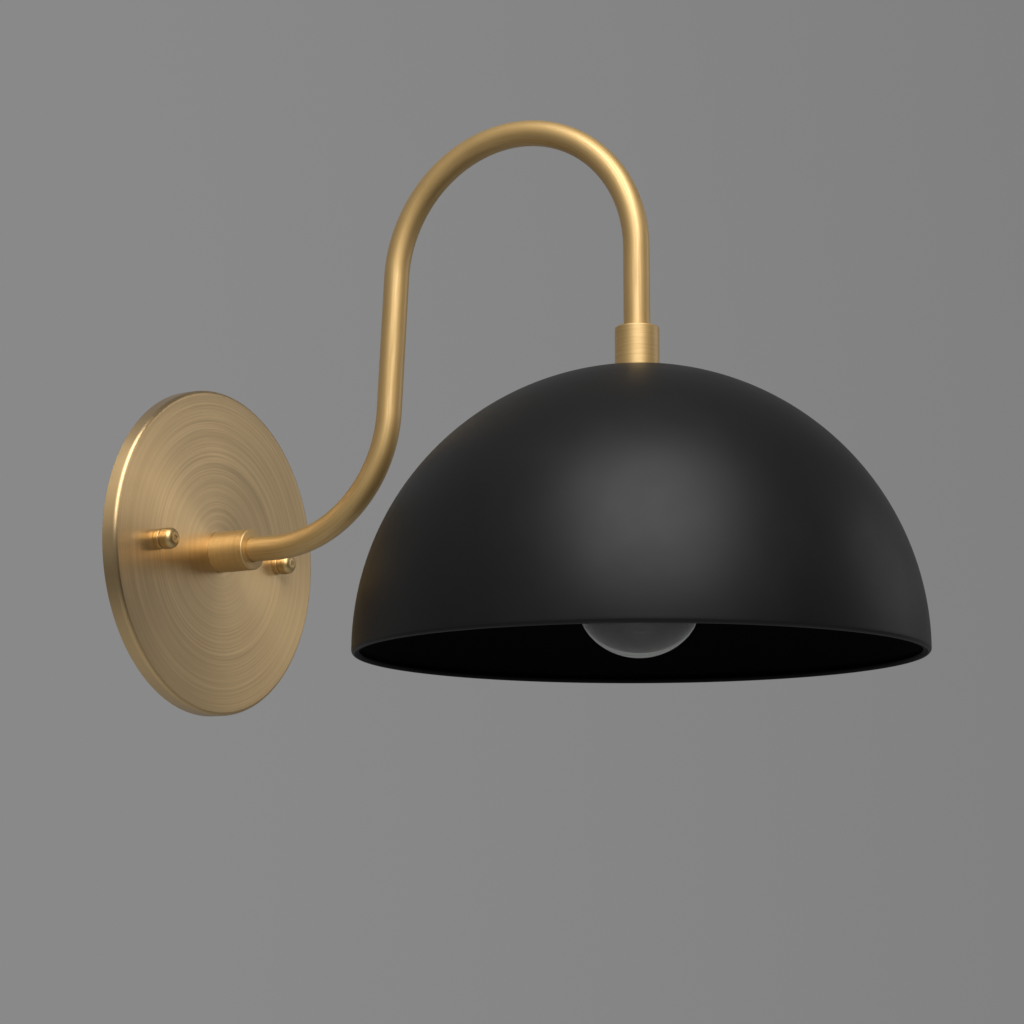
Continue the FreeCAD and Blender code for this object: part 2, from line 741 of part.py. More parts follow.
def make_centre_contact():
    """Folded brass strip: its upper leaf lies on the block and its lower leaf meets the bulb's tip."""
    body = body_named("centre_contact")
    outline = sketch_on(body, "XZ_Plane", "centre_contact_outline")
    fold = "contact_reach"
    draw(outline, [
        ("-" + fold, "0"),
        ("-" + fold, "-contact_strip"),
        (fold + " - contact_strip", "-contact_strip"),
        (fold + " - contact_strip", "-contact_drop + contact_strip"),
        ("-contact_width / 2", "-contact_drop + contact_strip"),
        ("-contact_width / 2", "-contact_drop"),
        (fold, "-contact_drop"),
        (fold, "0"),
    ])
    strip = pad(body, "centre_contact_pad", outline, "contact_width")
    strip.Midplane = True
    place(body, ("0", "-" + REACH, BLOCK_FOOT), UPRIGHT)


def make_socket():
    make_socket_housing()
    make_set_screw()
    make_contact_block()
    make_socket_shell()
    make_centre_contact()


# ---------------------------------------------------------------- bulb, heights measured down from its tip

def bulb_outline(inset):
    """Glass outline from the bottom pole up to the seal: ball, hollow sweep, straight neck."""
    middle = "(bulb_diameter / 2 - bulb_length)"
    ball = "(bulb_diameter / 2 - %s)" % inset
    sweep = "(bulb_neck_sweep + %s)" % inset
    neck = "(bulb_neck / 2 - %s)" % inset
    sweep_centre = "(bulb_neck / 2 + bulb_neck_sweep)"
    apart = "(bulb_diameter / 2 + bulb_neck_sweep)"
    sweep_height = "(%s + sqrt(%s ^ 2 - %s ^ 2))" % (middle, apart, sweep_centre)
    touch = "(%s * %s / %s)" % (ball, sweep_centre, apart)
    touch_height = "(%s + %s * sqrt(%s ^ 2 - %s ^ 2) / %s)" % (middle, ball, apart, sweep_centre, apart)
    return [
        ("0", "%s - %s" % (middle, ball), "0", middle, 1),
        (touch, touch_height, sweep_centre, sweep_height, -1),
        (neck, sweep_height),
    ]


SEAL = "(-base_length + cement_length)"


def make_envelope():
    """Blown glass envelope, open at the neck inside the screw base."""
    outside = bulb_outline("0")
    inside = bulb_outline("bulb_glass")
    neck = "bulb_neck / 2"
    start, touch, sweep_end = inside
    turned("bulb_envelope", outside + [
        (neck, SEAL),
        (neck + " - bulb_glass", SEAL),
        (sweep_end[0], sweep_end[1], touch[2], touch[3], 1),
        (touch[0], touch[1], start[2], start[3], -1),
        (start[0], start[1]),
    ], ("0", "-" + REACH, BULB_TOP))


def make_screw_base():
    """Thin metal screw cap with a cone at its top that holds the insulator."""
    outer = "base_diameter / 2"
    inner = outer + " - base_wall"
    cone_top = "-tip_height - base_insulator_depth / 2"
    cone_foot = "-tip_height - base_cone"
    turned("bulb_screw_base", [
        (inner, "-base_length"),
        (outer, "-base_length"),
        (outer, cone_foot),
        ("tip_diameter / 2 + base_cone", cone_top),
        ("tip_diameter / 2 + base_cone - base_wall", cone_top + " - base_wall"),
        (inner, cone_foot + " - base_wall"),
    ], ("0", "-" + REACH, BULB_TOP))


def make_cement():
    """Ring of basing cement between the glass neck and the screw cap."""
    turned("bulb_cement", [
        ("bulb_neck / 2 + seal_gap", "-base_length"),
        ("base_diameter / 2 - base_wall - seal_gap", "-base_length"),
        ("base_diameter / 2 - base_wall - seal_gap", SEAL),
        ("bulb_neck / 2 + seal_gap", SEAL),
    ], ("0", "-" + REACH, BULB_TOP))


def make_base_insulator():
    """Black glass button between the screw cap and the tip."""
    turned("bulb_base_insulator", [
        ("0", "-tip_height - base_insulator_depth"),
        ("tip_diameter / 2 + base_cone - base_wall", "-tip_height - base_insulator_depth"),
        ("tip_diameter / 2 + base_cone - base_wall", "-tip_height - base_insulator_depth / 2"),
        ("tip_diameter / 2", "-tip_height"),
        ("0", "-tip_height"),
    ], ("0", "-" + REACH, BULB_TOP))


def make_tip_contact():
    """Solder button at the top of the bulb."""
    body = turned("bulb_tip_contact", [
        ("0", "-tip_height"),
        ("tip_diameter / 2", "-tip_height"),
        ("tip_diameter / 2", "0"),
        ("0", "0"),
    ], ("0", "-" + REACH, BULB_TOP))
    rounded(body, "bulb_tip_edge", "tip_round", [("tip_diameter / 2", "0")])


def make_stem():
    """Glass stem: a flare sealed in the neck that narrows to a rod."""
    flare = "bulb_neck / 2 - bulb_glass - seal_gap"
    turned("bulb_stem", [
        ("0", "%s - stem_length" % SEAL),
        ("stem_diameter / 2", "%s - stem_length" % SEAL),
        ("stem_diameter / 2", "%s - stem_flare_height" % SEAL),
        (flare, "%s - bulb_glass" % SEAL),
        (flare, SEAL),
        ("0", SEAL),
    ], ("0", "-" + REACH, BULB_TOP))


def make_filament():
    """Two posts that lean out of the stem's end, and the filament that is held between their feet."""
    height = "%s + %s - stem_length - post_length" % (BULB_TOP, SEAL)
    length = "(post_length - post_diameter / 2 * sin(post_lean)) / cos(post_lean)"
    for side, sign in (("left", -1), ("right", 1)):
        label = side + "_filament_post"
        post = doc.addObject("Part::Cylinder", label)
        post.Label = label
        post.setExpression("Radius", bound("post_diameter / 2"))
        post.setExpression("Height", bound(length))
        lean = FreeCAD.Rotation(FreeCAD.Vector(0, -sign, 0), value("post_lean"))
        place(post, ("%d * post_spread / 2" % sign, "-" + REACH, height), lean)
    filament = doc.addObject("Part::Cylinder", "bulb_filament")
    filament.Label = "bulb_filament"
    half = "(post_spread / 2 - post_diameter / 2 / cos(post_lean) - filament_diameter / 2 * tan(post_lean))"
    filament.setExpression("Radius", bound("filament_diameter / 2"))
    filament.setExpression("Height", bound("2 * " + half))
    along = FreeCAD.Rotation(FreeCAD.Vector(0, 1, 0), 90)
    place(filament, ("-" + half, "-" + REACH, height), along)


def make_bulb():
    make_envelope()
    make_screw_base()
    make_cement()
    make_base_insulator()
    make_tip_contact()
    make_stem()
    make_filament()


# ---------------------------------------------------------------- assembly

make_plate_side()
make_arm()
make_leads()
make_shade_neck()
make_shade()
make_socket()
make_bulb()
doc.recompute()

inner_objects = set()
for item in doc.Objects:
    if item.isDerivedFrom("Part::Boolean"):
        inner_objects.update((item.Base.Name, item.Tool.Name))

sub_parts = []
for item in doc.Objects:
    if "Invalid" in item.State or "Error" in item.State:
        raise RuntimeError("failed: " + item.Label)
    is_body = item.TypeId == "PartDesign::Body"
    is_plain = item.isDerivedFrom("Part::Feature") and item.getParentGeoFeatureGroup() is None
    if is_body or (is_plain and item.Name not in inner_objects):
        sub_parts.append(item)

for item in sub_parts:
    if item.Shape.isNull() or not item.Shape.isValid() or not item.Shape.Solids:
        raise RuntimeError("bad shape: " + item.Label)

os.makedirs("parts", exist_ok=True)
for item in sub_parts:
    item.Shape.exportStep("parts/%s.step" % item.Label)
print(len(sub_parts), "sub-parts written")
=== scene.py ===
import bpy
import numpy as np
from mathutils import Matrix, Vector

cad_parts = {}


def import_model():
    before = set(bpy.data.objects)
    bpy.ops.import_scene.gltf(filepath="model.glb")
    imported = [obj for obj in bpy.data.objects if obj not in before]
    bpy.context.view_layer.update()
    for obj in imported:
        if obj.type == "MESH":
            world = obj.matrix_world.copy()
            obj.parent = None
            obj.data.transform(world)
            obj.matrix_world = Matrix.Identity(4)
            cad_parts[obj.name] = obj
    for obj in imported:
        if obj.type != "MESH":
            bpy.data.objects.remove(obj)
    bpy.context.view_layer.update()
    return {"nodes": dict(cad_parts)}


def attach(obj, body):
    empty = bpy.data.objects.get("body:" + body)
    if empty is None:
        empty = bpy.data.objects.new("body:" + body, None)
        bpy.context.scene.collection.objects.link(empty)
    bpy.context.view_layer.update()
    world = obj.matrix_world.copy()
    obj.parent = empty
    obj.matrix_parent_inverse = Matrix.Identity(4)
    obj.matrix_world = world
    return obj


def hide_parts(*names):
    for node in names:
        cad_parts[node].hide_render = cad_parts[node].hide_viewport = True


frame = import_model()

# Gooseneck wall sconce in satin brass with a matte black dome shade.
# Metres. The wall is y = 0, the light stands out along -Y, +Z is up.

MM = 0.001
TURN = 2 * np.pi

# sizes that the solids have, in metres
PLATE_RADIUS = 63.5 * MM
PLATE_DEPTH = 6.35 * MM
PLATE_WALL = 1.2 * MM
COLLAR_RADIUS = 7.9375 * MM
COLLAR_LENGTH = 15.875 * MM
PIPE_BORE = 3.8 * MM
PIPE_HOLE = 5.195 * MM
TUBE_RADIUS = 4.7625 * MM
TUBE_SEAT = 8.0 * MM
STUD_HOLE = 2.135 * MM
STUD_SIDES = (("left", -38.1 * MM), ("right", 38.1 * MM))
PIPE_NUT = (14.3 * MM, 3.2 * MM, PIPE_HOLE)
STUD_NUT = (8.73 * MM, 2.4 * MM, STUD_HOLE)
BEND = 50.8 * MM
LEAN = np.radians(3.0)
REACH = 188.0863 * MM
CROWN = 51.837 * MM
RIM = -49.957 * MM
SHADE_RADIUS = 100.0 * MM
SHADE_WALL = 1.2 * MM
SKIRT = 2.2 * MM
HEM = 1.4 * MM
BULB_TOP = 38.237 * MM
BULB_LENGTH = 88.5 * MM
CAP_LENGTH = 26.4 * MM
CEMENT_LENGTH = 6.0 * MM
THREAD_PITCH = 3.62857 * MM
HOUSING_FOOT = 12.737 * MM
SHELL_TOP = 39.437 * MM


# ---------------------------------------------------------------- surfaces

def softened(corners, edge=0.03 * MM, segments=5):
    """Profile with rounded corners.

    A corner (r, h, s) becomes an arc of radius s that touches both its sides. Its points are
    centre + s (sin((1 - t) w) a + sin(t w) b) / sin w, with a and b the directions from the centre
    to the touching points and w the angle between them. One more point lies just past each end of
    the arc, so that the flats stay flat in the light. A corner with s = 0 is kept as it is.
    """
    corners = [np.array(corner, float) for corner in corners]
    runs = []
    for before, here, after in zip(corners[-1:] + corners[:-1], corners, corners[1:] + corners[:1]):
        middle, size = here[:2], here[2]
        if size == 0:
            runs.append(middle[None, :])
            continue
        back = (before[:2] - middle) / np.linalg.norm(before[:2] - middle)
        on = (after[:2] - middle) / np.linalg.norm(after[:2] - middle)
        half = np.arccos(np.clip(back @ on, -1, 1)) / 2
        touch = size / np.tan(half)
        bisector = (back + on) / np.linalg.norm(back + on)
        centre = middle + bisector * size / np.sin(half)
        a = (middle + back * touch - centre) / size
        b = (middle + on * touch - centre) / size
        wide = np.pi - 2 * half
        t = np.linspace(0, 1, segments + 1)[:, None]
        arc = centre + size * (np.sin((1 - t) * wide) * a + np.sin(t * wide) * b) / np.sin(wide)
        runs.append(np.vstack([middle + back * (touch + edge), arc, middle + on * (touch + edge)]))
    return np.vstack(runs)


def arc_run(centre, radius, start, end, count):
    """Profile corners on an arc: centre + radius (cos a, sin a), a from start to end."""
    a = np.linspace(start, end, count)
    return np.column_stack([centre[0] + radius * np.cos(a), centre[1] + radius * np.sin(a),
                            np.zeros(count)])


def grid_faces(rows, columns, closed_rows):
    """Quads of a grid that is closed round its columns, as indices row * columns + column."""
    count = rows if closed_rows else rows - 1
    row = np.arange(count)[:, None]
    column = np.arange(columns)[None, :]
    up = (row + 1) % rows
    on = (column + 1) % columns
    corners = [row * columns + column, row * columns + on, up * columns + on, up * columns + column]
    quads = np.stack([np.broadcast_to(corner, (count, columns)) for corner in corners], axis=-1)
    u = np.stack([np.broadcast_to(value, (count, columns)) for value in
                  (column, column + 1, column + 1, column)], axis=-1) / columns
    v = np.stack([np.broadcast_to(value, (count, columns)) for value in
                  (row, row, row + 1, row + 1)], axis=-1) / rows
    return quads.reshape(-1, 4), np.stack([u, v], axis=-1).reshape(-1, 4, 2)


def outward(points, quads, uv):
    """Turns every face over where the signed volume, the sum of a . (b x c) / 6, is below zero."""
    a, b, c, d = (points[quads[:, k]] for k in range(4))
    volume = sum(np.einsum("ij,ij->i", a, np.cross(*pair)).sum() for pair in ((b, c), (c, d)))
    if volume < 0:
        return quads[:, ::-1], uv[:, ::-1]
    return quads, uv


def piece(name, points, quads, uv, finish, body="root", nodes=(), grain=None):
    """Mesh object from whole arrays. Quads whose corners meet on the axis come out as triangles."""
    quads, uv = outward(points, quads, uv)
    mesh = bpy.data.meshes.new(name)
    mesh.vertices.add(len(points))
    mesh.vertices.foreach_set("co", points.astype(np.float32).ravel())
    mesh.loops.add(quads.size)
    mesh.loops.foreach_set("vertex_index", quads.astype(np.int32).ravel())
    mesh.polygons.add(len(quads))
    mesh.polygons.foreach_set("loop_start", np.arange(len(quads), dtype=np.int32) * 4)
    mesh.update(calc_edges=True)
    layer = mesh.uv_layers.new(name="around")
    layer.data.foreach_set("uv", uv.astype(np.float32).ravel())
    if grain is not None:
        stored = mesh.attributes.new("unbent", "FLOAT_VECTOR", "POINT")
        stored.data.foreach_set("vector", grain.astype(np.float32).ravel())
    mesh.validate()
    mesh.shade_smooth()
    made_object = bpy.data.objects.new(name, mesh)
    bpy.context.scene.collection.objects.link(made_object)
    made_object.data.materials.append(finish)
    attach(made_object, body)
    if nodes:
        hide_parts(*nodes)
    return made_object


def lathe(profile, around, closed=True):
    """Surface of revolution: point (i, k) = (r_i cos t_k, r_i sin t_k, h_i), t_k = 2 pi k / around."""
    t = np.arange(around) * TURN / around
    r = profile[:, 0][:, None]
    h = np.broadcast_to(profile[:, 1][:, None], (len(profile), around))
    points = np.stack([r * np.cos(t), r * np.sin(t), h], axis=-1)
    return points, *grid_faces(len(profile), around, closed)


def out_of_wall(points, x=0.0, y=0.0, z=0.0):
    """Local (a, b, c) to (x + a, y - c, z + b): the turning axis points out of the wall."""
    turned = [x + points[..., 0], y - points[..., 2], z + points[..., 1]]
    return np.stack(turned, axis=-1).reshape(-1, 3)


def upright(points, z=0.0):
    """Local (a, b, c) to (a, b - reach, c + z): the turning axis is the shade's."""
    return (points + np.array([0.0, -REACH, z])).reshape(-1, 3)


# ---------------------------------------------------------------- finishes

def made(tree, kind, inputs=(), **settings):
    """Adds a node, sets its settings and fills its inputs. An input given as a socket is linked."""
    new = tree.nodes.new("ShaderNode" + kind)
    for name, setting in settings.items():
        setattr(new, name, setting)
    for name, given in dict(inputs).items():
        if isinstance(given, bpy.types.NodeSocket):
            tree.links.new(given, new.inputs[name])
        else:
            new.inputs[name].default_value = given
    return new


def finish(name, constants):
    """New material with its shader's plain values set, and the tree to add patterns to."""
    material = bpy.data.materials.new(name)
    material.use_nodes = True
    tree = material.node_tree
    shader = tree.nodes["Principled BSDF"]
    for key, value in constants.items():
        shader.inputs[key].default_value = value
    return material, tree, shader


def place_of(tree, scale=(1, 1, 1), attribute=None):
    """The point on the piece, or a stored attribute, stretched."""
    if attribute:
        source = made(tree, "Attribute", attribute_name=attribute).outputs["Vector"]
    else:
        source = made(tree, "TexCoord").outputs["Object"]
    mapping = made(tree, "Mapping", {"Vector": source, "Scale": scale})
    return mapping.outputs["Vector"]


def noise(tree, vector, scale, detail=3.0):
    """Cloudy pattern of 0 to 1 at a point."""
    return made(tree, "TexNoise", {"Vector": vector, "Scale": scale, "Detail": detail,
                                   "Roughness": 0.6}).outputs["Fac"]


def spread(tree, fac, low, high, start=0.3, end=0.7):
    """Stretches a 0 to 1 pattern to the numbers from low to high."""
    return made(tree, "MapRange", {"Value": fac, "From Min": start, "From Max": end,
                                   "To Min": low, "To Max": high}).outputs["Result"]


def tinted(tree, fac, first, second):
    """Colour that goes from the first to the second as the pattern goes from 0 to 1."""
    mix = made(tree, "Mix", data_type="RGBA")
    tree.links.new(fac, mix.inputs["Factor"])
    mix.inputs[6].default_value = (*first, 1)
    mix.inputs[7].default_value = (*second, 1)
    return mix.outputs[2]


def raised(tree, shader, height, strength, distance):
    """Relief that follows a pattern's height."""
    bump = made(tree, "Bump", {"Height": height, "Strength": strength, "Distance": distance})
    tree.links.new(bump.outputs["Normal"], shader.inputs["Normal"])


def sum_of(tree, a, b, operation="ADD"):
    """Sum, or another operation, of two patterns or numbers."""
    both = made(tree, "Math", operation=operation)
    for socket, given in zip(both.inputs, (a, b)):
        if isinstance(given, bpy.types.NodeSocket):
            tree.links.new(given, socket)
        else:
            socket.default_value = given
    return both.outputs[0]


def satin_brass(name, lines, light, dark, rough, stretch=0.0, relief=0.04):
    """Brushed brass under a thin lacquer. lines gives the stretched pattern of the brushing, from a
    function of the tree, and the gloss is drawn out across the brushing by the stretch."""
    material, tree, shader = finish(name, {"Metallic": 1.0, "Anisotropic": stretch, "IOR": 1.5,
                                           "Anisotropic Rotation": 0.25, "Coat Weight": 0.8,
                                           "Coat Roughness": 0.34})
    fine = lines(tree)
    cloud = noise(tree, place_of(tree), 38.0, 4.0)
    tone = sum_of(tree, spread(tree, fine, 0.0, 0.75), spread(tree, cloud, 0.0, 0.25))
    tree.links.new(tinted(tree, tone, dark, light), shader.inputs["Base Color"])
    tree.links.new(sum_of(tree, spread(tree, fine, rough + 0.05, rough - 0.05),
                          spread(tree, cloud, -0.03, 0.03)), shader.inputs["Roughness"])
    raised(tree, shader, fine, relief, 0.03 * MM)
    if stretch:
        tangent = made(tree, "Tangent", direction_type="UV_MAP", uv_map="around")
        tree.links.new(tangent.outputs["Tangent"], shader.inputs["Tangent"])
    return material


def ring_lines(tree):
    """Brushing in rings round the wall axis: noise of the distance from it, and a little of x and z."""
    flat = place_of(tree, scale=(1, 0, 1))
    distance = made(tree, "VectorMath", {0: flat}, operation="LENGTH").outputs["Value"]
    slow = made(tree, "SeparateXYZ", {"Vector": place_of(tree, scale=(14, 14, 14))})
    along = made(tree, "CombineXYZ", {"X": sum_of(tree, distance, 1500.0, "MULTIPLY"),
                                      "Y": slow.outputs["X"], "Z": slow.outputs["Z"]})
    coarse = made(tree, "CombineXYZ", {"X": sum_of(tree, distance, 620.0, "MULTIPLY"),
                                       "Y": slow.outputs["X"], "Z": slow.outputs["Z"]})
    return sum_of(tree, sum_of(tree, noise(tree, along.outputs["Vector"], 1.0, 2.0), 0.72, "MULTIPLY"),
                  sum_of(tree, noise(tree, coarse.outputs["Vector"], 1.0, 3.0), 0.28, "MULTIPLY"))


def turned_lines(scale):
    """Brushing in rings along a turned piece: noise squeezed along its axis."""
    return lambda tree: noise(tree, place_of(tree, scale=scale), 1.0, 2.0)


def drawn_lines(tree):
    """Brushing along the tube: noise of the unbent tube's own coordinates, squeezed across it."""
    return noise(tree, place_of(tree, scale=(45, 1500, 1500), attribute="unbent"), 1.0, 2.0)


# The plate's brass is a lighter copy of the arm's brass: painted light for the broad light that falls
# on the plate.
PLATE_LIGHT_PAINTED_LIT = (0.74, 0.520, 0.258)
PLATE_DARK_PAINTED_LIT = (0.55, 0.378, 0.176)
BRASS_LIGHT = (0.67, 0.462, 0.200)
BRASS_DARK = (0.55, 0.366, 0.136)

plate_brass_painted_lit = satin_brass("plate_brass_painted_lit", ring_lines, PLATE_LIGHT_PAINTED_LIT, PLATE_DARK_PAINTED_LIT, 0.40, 0.80, relief=0.10)
collar_brass = satin_brass("collar_brass", turned_lines((60, 2600, 60)), BRASS_LIGHT, BRASS_DARK, 0.58)
neck_brass = satin_brass("neck_brass", turned_lines((60, 60, 2600)), BRASS_LIGHT, BRASS_DARK, 0.58)
tube_brass = satin_brass("tube_brass", drawn_lines, BRASS_LIGHT, BRASS_DARK, 0.60)
nut_brass = satin_brass("nut_brass", turned_lines((90, 3200, 90)), BRASS_LIGHT, BRASS_DARK, 0.42)
raw_brass = satin_brass("raw_brass", turned_lines((300, 300, 2200)), (0.78, 0.58, 0.30),
                        (0.60, 0.42, 0.20), 0.30)


GRAIN = 0.02 * MM


def coated(name, light, dark, rough, grain, height, constants=()):
    """Matte coat: fine grain in tone, roughness and bump, and slow clouds over it."""
    material, tree, shader = finish(name, dict(constants))
    fine = noise(tree, place_of(tree), grain, 4.0)
    cloud = noise(tree, place_of(tree), grain / 60, 3.0)
    tone = sum_of(tree, spread(tree, fine, 0.0, 0.6), spread(tree, cloud, 0.0, 0.4))
    tree.links.new(tinted(tree, tone, dark, light), shader.inputs["Base Color"])
    tree.links.new(sum_of(tree, spread(tree, fine, rough - 0.04, rough + 0.04),
                          spread(tree, cloud, -0.03, 0.03)), shader.inputs["Roughness"])
    raised(tree, shader, fine, 0.25, height)
    return material


matte_black = coated("matte_black", (0.0050, 0.0050, 0.0052), (0.0034, 0.0034, 0.0036), 0.46, 2600.0,
                     GRAIN, {"Specular IOR Level": 0.26})
# Darker, duller black than the outside, for the inside of the dome and under its hem: painted shade
# over the shade's own black.
painted_shade_black = coated("painted_shade_black", (0.0020, 0.0020, 0.0021), (0.0012, 0.0012, 0.0013), 0.70, 1800.0,
                     GRAIN, {"Specular IOR Level": 0.12})
phenolic = coated("phenolic", (0.02, 0.019, 0.018), (0.012, 0.012, 0.012), 0.34, 900.0, GRAIN)
porcelain = coated("porcelain", (0.78, 0.76, 0.70), (0.68, 0.65, 0.58), 0.45, 700.0, GRAIN)
nylon = coated("nylon", (0.80, 0.80, 0.78), (0.74, 0.74, 0.71), 0.4, 600.0, GRAIN,
               {"Subsurface Weight": 0.1})
cement = coated("cement", (0.66, 0.58, 0.45), (0.50, 0.43, 0.33), 0.85, 1500.0, 0.08 * MM)
black_glass = coated("black_glass", (0.012, 0.012, 0.013), (0.006, 0.006, 0.007), 0.12, 400.0,
                     0.01 * MM)
black_pvc = coated("black_pvc", (0.02, 0.02, 0.021), (0.013, 0.013, 0.014), 0.38, 500.0, GRAIN)
white_pvc = coated("white_pvc", (0.80, 0.80, 0.77), (0.70, 0.70, 0.66), 0.38, 500.0, GRAIN)


def plated(name, light, dark, rough, scale=(900, 900, 900), height=GRAIN):
    """Bright plated or drawn metal: streaked tone and roughness."""
    material, tree, shader = finish(name, {"Metallic": 1.0})
    fine = noise(tree, place_of(tree, scale=scale), 1.0)
    cloud = noise(tree, place_of(tree), 90.0, 3.0)
    tone = sum_of(tree, spread(tree, fine, 0.0, 0.6), spread(tree, cloud, 0.0, 0.4))
    tree.links.new(tinted(tree, tone, dark, light), shader.inputs["Base Color"])
    tree.links.new(spread(tree, cloud, rough - 0.05, rough + 0.06), shader.inputs["Roughness"])
    raised(tree, shader, fine, 0.3, height)
    return material


zinc = plated("zinc", (0.66, 0.67, 0.68), (0.50, 0.51, 0.53), 0.32)
green_plate = plated("green_plate", (0.05, 0.34, 0.12), (0.03, 0.22, 0.07), 0.3)
nickel_cap = plated("nickel_cap", (0.74, 0.73, 0.70), (0.60, 0.59, 0.56), 0.26)
solder = plated("solder", (0.62, 0.61, 0.58), (0.46, 0.45, 0.43), 0.42, height=0.06 * MM)
tinned = plated("tinned", (0.72, 0.66, 0.58), (0.48, 0.42, 0.36), 0.35, (2800, 200, 2800), 0.1 * MM)
wire_metal = plated("wire_metal", (0.48, 0.46, 0.43), (0.30, 0.29, 0.28), 0.35)


def clear_glass(name):
    """Blown glass: clear, with very slow waves in its surface."""
    material, tree, shader = finish(name, {"Transmission Weight": 1.0, "IOR": 1.46, "Roughness": 0.0})
    wave = noise(tree, place_of(tree), 45.0, 2.0)
    green = tinted(tree, wave, (0.88, 0.93, 0.89), (0.93, 0.96, 0.94))
    tree.links.new(green, shader.inputs["Base Color"])
    raised(tree, shader, wave, 0.06, 0.3 * MM)
    return material


bulb_glass = clear_glass("bulb_glass")


# ---------------------------------------------------------------- backplate, collars and nuts

def backplate():
    """Shallow cup turned about the wall axis, open towards the wall, with a rounded front edge."""
    wall, depth, radius = PLATE_WALL, PLATE_DEPTH, PLATE_RADIUS
    profile = softened([
        (PIPE_HOLE + 0.2 * MM, depth, 0.1 * MM), (PIPE_HOLE + 0.2 * MM, depth - wall, 0.1 * MM),
        (radius - wall, depth - wall, 0.4 * MM), (radius - wall, 0, 0.25 * MM), (radius, 0, 0.3 * MM),
        (radius, depth, 1.5 * MM)], segments=8)
    points, quads, uv = lathe(profile, 256)
    piece("brushed_backplate", out_of_wall(points), quads, uv, plate_brass_painted_lit,
          nodes=["backplate"])


def collar_profile():
    """Collar with the counterbore for the tube at its head and the pipe hole at its foot."""
    seat = COLLAR_LENGTH - TUBE_SEAT
    hole = TUBE_RADIUS + 0.05 * MM
    return softened([
        (PIPE_HOLE, 0, 0.1 * MM), (COLLAR_RADIUS, 0, 0.12 * MM),
        (COLLAR_RADIUS, COLLAR_LENGTH, 0.6 * MM), (hole, COLLAR_LENGTH, 0.25 * MM),
        (hole, seat, 0.1 * MM), (PIPE_BORE, seat, 0.1 * MM),
        (PIPE_BORE, 7 * MM, 0.1 * MM), (PIPE_HOLE, 7 * MM, 0.1 * MM)], segments=6)


def collars():
    """The same collar twice: out of the plate, and standing on the crown of the shade."""
    points, quads, uv = lathe(collar_profile(), 128)
    piece("brushed_plate_collar", out_of_wall(points, y=-PLATE_DEPTH), quads, uv, collar_brass,
          nodes=["plate_collar"])
    piece("brushed_shade_collar", upright(points, CROWN), quads, uv, neck_brass,
          nodes=["shade_collar"])


def ball_nuts():
    """Cap nuts: foot, groove, round-nosed head and a shallow dimple in the middle of the nose."""
    length, deep = 7.8 * MM, 5.8 * MM
    foot, groove, head = 3.9 * MM, 3.2 * MM, 4.0 * MM
    below, above = 2.3 * MM, 2.9 * MM
    profile = softened([
        (STUD_HOLE, 0, 0.1 * MM), (foot, 0, 0.25 * MM), (foot, below, 0.35 * MM),
        (groove, below, 0.1 * MM), (groove, above, 0.1 * MM), (head, above, 0.3 * MM),
        (head, length, 2.5 * MM), (1.0 * MM, length, 0.8 * MM), (0.0, length - 0.45 * MM, 0),
        (0.0, deep, 0), (STUD_HOLE, deep, 0.1 * MM)], segments=8)
    points, quads, uv = lathe(profile, 72)
    for side, x in STUD_SIDES:
        piece("turned_%s_ball_nut" % side, out_of_wall(points, x=x, y=-PLATE_DEPTH), quads, uv,
              nut_brass, nodes=["%s_ball_nut" % side])


def hexagon_nut(name, flats, thick, bore, stood, node):
    """Hexagon nut: its radius is the lesser of the hexagon's, flats / 2 / cos(angle to the nearest
    flat), and a cone's that cuts the corners at both faces."""
    around = 96
    t = np.arange(around) * TURN / around
    off = np.mod(t, TURN / 6) - TURN / 12
    hexagon = flats / 2 / np.cos(off)
    h = np.array([0, 0.001, 0.12, 0.3, 0.5, 0.7, 0.88, 0.999, 1.0]) * thick
    cone = flats / 2 + 1.9 * np.minimum(h, thick - h)
    outside = np.minimum(hexagon[None, :], cone[:, None])
    inside = np.full((3, around), bore)
    radius = np.vstack([outside, inside])
    height = np.concatenate([h, [thick - 0.0001 * MM, thick / 2, 0.0001 * MM]])
    points = np.stack([radius * np.cos(t), radius * np.sin(t),
                       np.broadcast_to(height[:, None], radius.shape)], axis=-1)
    quads, uv = grid_faces(len(height), around, True)
    nut = piece(name, stood(points), quads, uv, zinc, nodes=[node])
    nut.data.set_sharp_from_angle(angle=np.radians(28))


def nuts():
    """The two nuts on the threaded pipes and the two on the studs."""
    hexagon_nut("plate_pipe_nut", *PIPE_NUT,
                lambda points: out_of_wall(points, y=-1.25 * MM), "plate_lock_nut")
    hexagon_nut("shade_pipe_nut", *PIPE_NUT,
                lambda points: upright(points, 46.737 * MM), "shade_lock_nut")
    for side, x in STUD_SIDES:
        hexagon_nut("%s_stud_hex" % side, *STUD_NUT,
                    lambda points, x=x: out_of_wall(points, x=x, y=-1.9 * MM), "%s_stud_nut" % side)


# ---------------------------------------------------------------- arm

